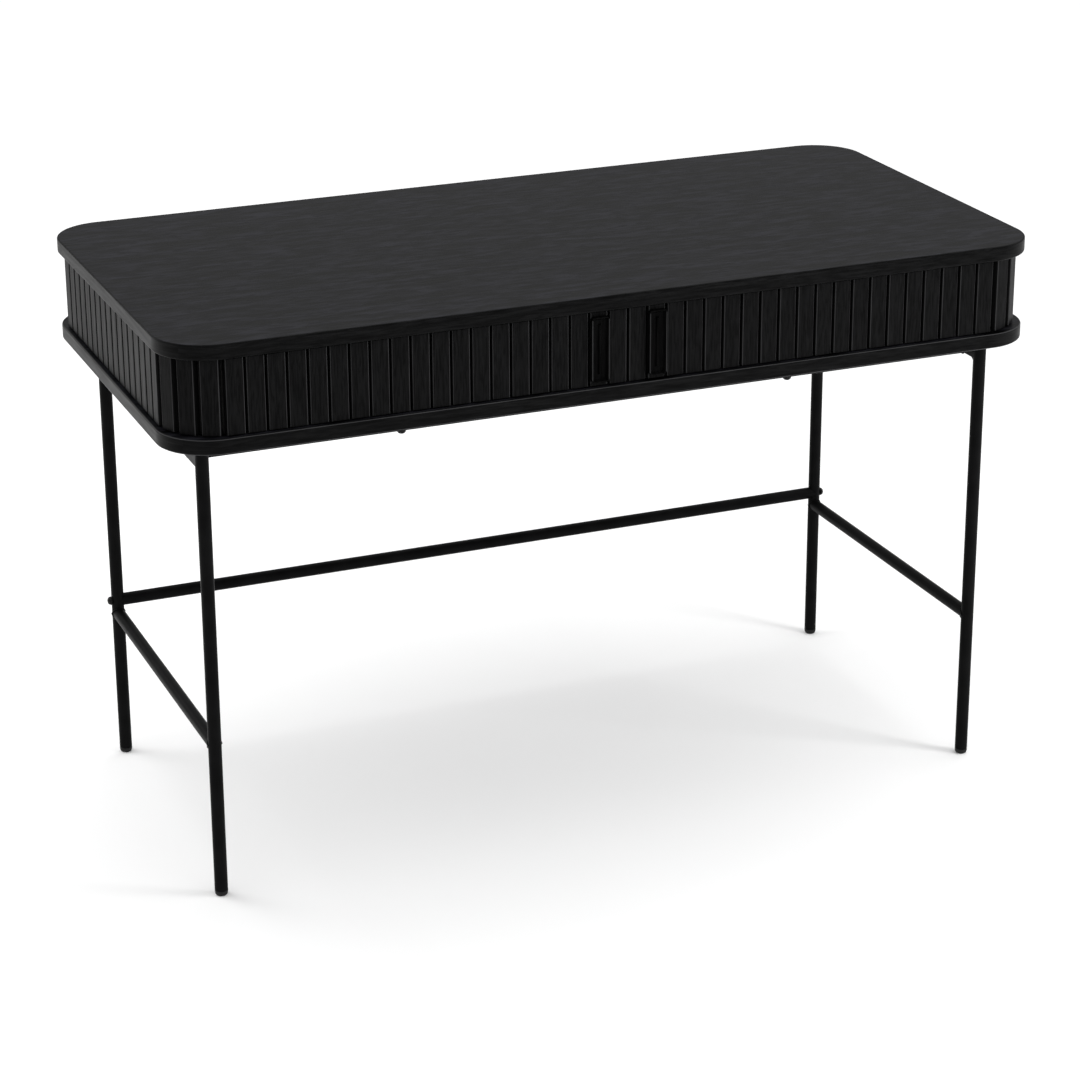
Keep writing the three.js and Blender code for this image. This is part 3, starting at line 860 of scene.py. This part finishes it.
def side_member(name, node, side, outline, wall_outline, beaded):
    """A tube along Y that is coped and welded to the two legs of one side. Outlines are in (x, z)."""
    low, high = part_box(node)
    middle_z = (low.z + high.z) / 2
    x = side * LEG_X

    def coped_ring(points, end):
        ring = []
        for point in points:
            y = end * (LEG_Y - leg_face(point.x) - FIT)
            ring.append(Vector((x + point.x, y, middle_z + point.y)))
        return ring

    solids = Solids()
    rings = [coped_ring(outline, -1), coped_ring(outline, 1)]
    rings += [coped_ring(wall_outline, 1), coped_ring(wall_outline, -1)]
    solids.loft(rings, looped=True)
    if beaded:
        for end in (-1, 1):
            add_weld(solids, coped_ring(outline, end))
    dress(solids.piece(name), steel, "steel", "carcass", node)


RAIL_HALF_X = (rail_high.x - rail_low.x) / 2
RAIL_HALF_Z = (rail_high.z - rail_low.z) / 2
rail_outline = rectangle(RAIL_HALF_X, RAIL_HALF_Z, RAIL_RADIUS)
rail_bore = rectangle(RAIL_HALF_X - TUBE_WALL, RAIL_HALF_Z - TUBE_WALL, RAIL_RADIUS - TUBE_WALL)
for word, side in HANDS:
    outer = circle(TUBE_RADIUS, 64)
    bore = circle(TUBE_RADIUS - TUBE_WALL, 64)
    side_member(f"{word}_stretcher", f"{word}_side_stretcher", side, outer, bore, True)
    side_member(f"{word}_rail", f"{word}_top_rail", side, rail_outline, rail_bore, False)

# Small coved gussets are welded under the side rails, in the corners with the legs.
GUSSET_REACH = 16 * MM
GUSSET_HALF_THICKNESS = 2.5 * MM
for word, side in HANDS:
    for place, end in (("front", -1), ("rear", 1)):
        start_y = LEG_Y - TUBE_RADIUS
        corner_z = rail_low.z
        coved = [(start_y, corner_z), (start_y - GUSSET_REACH, corner_z)]
        for turn in arc(0, math.pi / 2, 12):
            y = start_y - GUSSET_REACH * (1 - math.sin(turn))
            coved.append((y, corner_z - 1 * MM - GUSSET_REACH * (1 - math.cos(turn))))
        coved.append((start_y, corner_z - 1 * MM - GUSSET_REACH))
        gusset = Solids()
        rings = []
        for offset in (-1, 1):
            x = side * LEG_X + offset * GUSSET_HALF_THICKNESS
            rings.append([(x, end * y, z) for y, z in coved])
        gusset.loft(rings)
        dress(gusset.piece(f"{place}_{word}_gusset"), steel, "steel", "carcass")

for word, end in (("front", -1), ("rear", 1)):
    low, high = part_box(f"{word}_cross_rail")
    middle = (low + high) / 2
    solids = Solids()
    rings = []
    ends = [(rail_outline, low.x), (rail_outline, high.x), (rail_bore, high.x), (rail_bore, low.x)]
    for outline, x in ends:
        rings.append([(x, middle.y + point.x, middle.z + point.y) for point in outline])
    solids.loft(rings, looped=True)
    for x in (low.x, high.x):
        add_weld(solids, [Vector((x, middle.y + point.x, middle.z + point.y)) for point in rail_outline])
    dress(solids.piece(f"{word}_rail"), steel, "steel", "carcass", f"{word}_cross_rail")

low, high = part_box("back_stretcher")
middle_z = (low.z + high.z) / 2
back = Solids()
rings = []
BORE_RADIUS = TUBE_RADIUS - TUBE_WALL
for end, radius in ((-1, TUBE_RADIUS), (1, TUBE_RADIUS), (1, BORE_RADIUS), (-1, BORE_RADIUS)):
    ring = []
    for point in circle(radius, 64):
        x = end * (LEG_X - leg_face(point.x) - FIT)
        ring.append((x, LEG_Y + point.x, middle_z + point.y))
    rings.append(ring)
back.loft(rings, looped=True)
dress(back.piece("back_tube"), steel, "steel", "carcass", "back_stretcher")

# ---- bolts ---------------------------------------------------------------------------------------
SOCKET_RADIUS = 2.2 * MM  # across the flats of the hex socket, halved
SOCKET_DEPTH = 2.6 * MM
BOLT_SIDES = 48
BOLT_HEAD_HEIGHT = 5 * MM
BOLT_TIP_CHAMFER = 0.6 * MM
BOLT_DOME = 0.72  # the head's radius shrinks through this share of a quarter turn
DOME_STEPS = 8
SOCKET_RIM = 1.1 * MM
SOCKET_CHAMFER = 0.1 * MM


def hexagon(half_flats, sides=BOLT_SIDES):
    points = []
    for turn in arc(0, 2 * math.pi, sides)[:-1]:
        reach = half_flats / math.cos(turn % (math.pi / 3) - math.pi / 6)
        points.append(Vector((reach * math.cos(turn), reach * math.sin(turn))))
    return points


def bolt_piece(name, low, high, direction, *nodes):
    """A domed socket-head bolt in a box. `direction` points from the shank out through the head."""
    middle = (low + high) / 2
    axis = Vector(direction)
    spans = high - low
    length = max(spans)
    head = min(spans) / 2
    shank = head / 2
    tip = length / 2
    shoulder = tip - BOLT_HEAD_HEIGHT
    outline = [(shank - BOLT_TIP_CHAMFER, -tip), (shank, -tip + BOLT_TIP_CHAMFER)]
    outline += [(shank, shoulder), (head, shoulder)]
    for turn in arc(0, math.pi / 2, DOME_STEPS)[1:-1]:
        radius = head * math.cos(turn * BOLT_DOME)
        outline.append((radius, tip - BOLT_HEAD_HEIGHT * (1 - math.sin(turn))))
    outline.append((SOCKET_RADIUS + SOCKET_RIM, tip))
    sections = [(circle(radius, BOLT_SIDES), along) for radius, along in outline]
    sections.append((hexagon(SOCKET_RADIUS), tip - SOCKET_CHAMFER))
    sections.append((hexagon(SOCKET_RADIUS), tip - SOCKET_DEPTH))
    turn = Vector((0, 0, 1)).rotation_difference(axis).to_matrix()
    solids = Solids()
    rings = []
    for points, along in sections:
        rings.append([middle + turn @ Vector((point.x, point.y, along)) for point in points])
    solids.loft(rings)
    dress(solids.piece(name), bolt_metal, "bolt", "carcass", *nodes)


SIDE_SCREW_FROM_LEG = 50 * MM
for word, side in HANDS:
    for place, end in (("front", -1), ("rear", 1)):
        node = f"{place}_rail_bolt_{word}"
        low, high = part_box(node)
        bolt_piece(f"{place}_{word}_rail_screw", low, high, (0, 0, -1), node)
        shift = Vector((side * LEG_X, end * (LEG_Y - SIDE_SCREW_FROM_LEG), 0)) - (low + high) / 2
        shift.z = 0
        bolt_piece(f"{place}_{word}_side_screw", low + shift, high + shift, (0, 0, -1))
    node = f"back_stretcher_bolt_{word}"
    bolt_piece(f"{word}_stretcher_screw", *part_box(node), (side, 0, 0), node)

# ---- floor and light -----------------------------------------------------------------------------
FLOOR_HALF = 40.0
floor_mesh = bpy.data.meshes.new("floor")
floor_corners = [(-FLOOR_HALF, -FLOOR_HALF, 0), (FLOOR_HALF, -FLOOR_HALF, 0), (FLOOR_HALF, FLOOR_HALF, 0)]
floor_mesh.from_pydata([*floor_corners, (-FLOOR_HALF, FLOOR_HALF, 0)], [], [(0, 1, 2, 3)])
floor = bpy.data.objects.new("floor", floor_mesh)
bpy.context.scene.collection.objects.link(floor)
floor_paint, _, _ = new_material("floor_paint", base=(0.9, 0.9, 0.9), roughness=0.9, specular=0.0)
floor_mesh.materials.append(floor_paint)


def softbox(name, place, target, size, power):
    """An area light that the camera doesn't see. Sizes are in metres and power in watts."""
    light = bpy.data.lights.new(name, "AREA")
    light.shape = "RECTANGLE"
    light.size, light.size_y = size
    light.energy = power
    lamp = bpy.data.objects.new(name, light)
    bpy.context.scene.collection.objects.link(lamp)
    lamp.location = place
    lamp.rotation_mode = "QUATERNION"
    lamp.rotation_quaternion = (Vector(target) - Vector(place)).to_track_quat("-Z", "Y")
    lamp.visible_camera = False
    return lamp


desk_middle = (0, 0, top_high.z / 2)
softbox("overhead", place=(0.9, 0.5, 3.0), target=desk_middle, size=(2.6, 2.0), power=10)
softbox("rear_left", place=(-1.9, 1.3, 1.2), target=(-1.8, 1.3, 0), size=(1.4, 1.4), power=22)
front_right = softbox(
    "front_right", place=(1.9, -1.5, 0.85), target=(0.6, -0.3, 0.68), size=(0.6, 0.6), power=27
)
front_right.visible_glossy = False  # it stands low and would glare on the top from behind


def studio_world(horizon, zenith):
    """An even studio that is dim at the horizon and bright overhead."""
    world = bpy.data.worlds.new("studio")
    world.use_nodes = True
    tree = world.node_tree
    direction = add_node(tree, "ShaderNodeTexCoord").outputs["Generated"]
    parts = add_node(tree, "ShaderNodeSeparateXYZ")
    tree.links.new(direction, parts.inputs["Vector"])
    ramp = add_node(tree, "ShaderNodeMapRange")
    ramp.interpolation_type = "SMOOTHSTEP"
    ramp.inputs["From Min"].default_value = 0.0
    ramp.inputs["From Max"].default_value = 1.0
    ramp.inputs["To Min"].default_value = horizon
    ramp.inputs["To Max"].default_value = zenith
    tree.links.new(parts.outputs["Z"], ramp.inputs["Value"])
    background = tree.nodes["Background"]
    tree.links.new(ramp.outputs["Result"], background.inputs["Strength"])
    background.inputs["Color"].default_value = (1, 1, 1, 1)
    bpy.context.scene.world = world


studio_world(horizon=0.26, zenith=1.51)
bpy.context.scene.view_settings.view_transform = "Standard"

# ---- camera --------------------------------------------------------------------------------------
CAMERA_PLACE = (-1.4952, -3.6434, 1.8721)
CAMERA_AZIMUTH = math.radians(-22.493)
CAMERA_ELEVATION = math.radians(20.349)
CAMERA_ROLL = math.radians(-0.2125)
CAMERA_SENSOR = 36  # both in millimetres
CAMERA_LENS = 101.764
CAMERA_SHIFT = (-0.0097, -0.0556)
camera_data = bpy.data.cameras.new("camera")
camera_data.sensor_width = CAMERA_SENSOR
camera_data.lens = CAMERA_LENS
camera_data.shift_x, camera_data.shift_y = CAMERA_SHIFT
camera = bpy.data.objects.new("camera", camera_data)
bpy.context.scene.collection.objects.link(camera)
backward = Vector(
    (
        math.sin(CAMERA_AZIMUTH) * math.cos(CAMERA_ELEVATION),
        -math.cos(CAMERA_AZIMUTH) * math.cos(CAMERA_ELEVATION),
        math.sin(CAMERA_ELEVATION),
    )
)
level = Vector((0, 0, 1)).cross(backward).normalized()
rightward = Matrix.Rotation(CAMERA_ROLL, 3, backward) @ level
upward = backward.cross(rightward)
turned = Matrix((rightward, upward, backward)).transposed().to_4x4()
camera.matrix_world = Matrix.Translation(CAMERA_PLACE) @ turned
bpy.context.scene.camera = camera
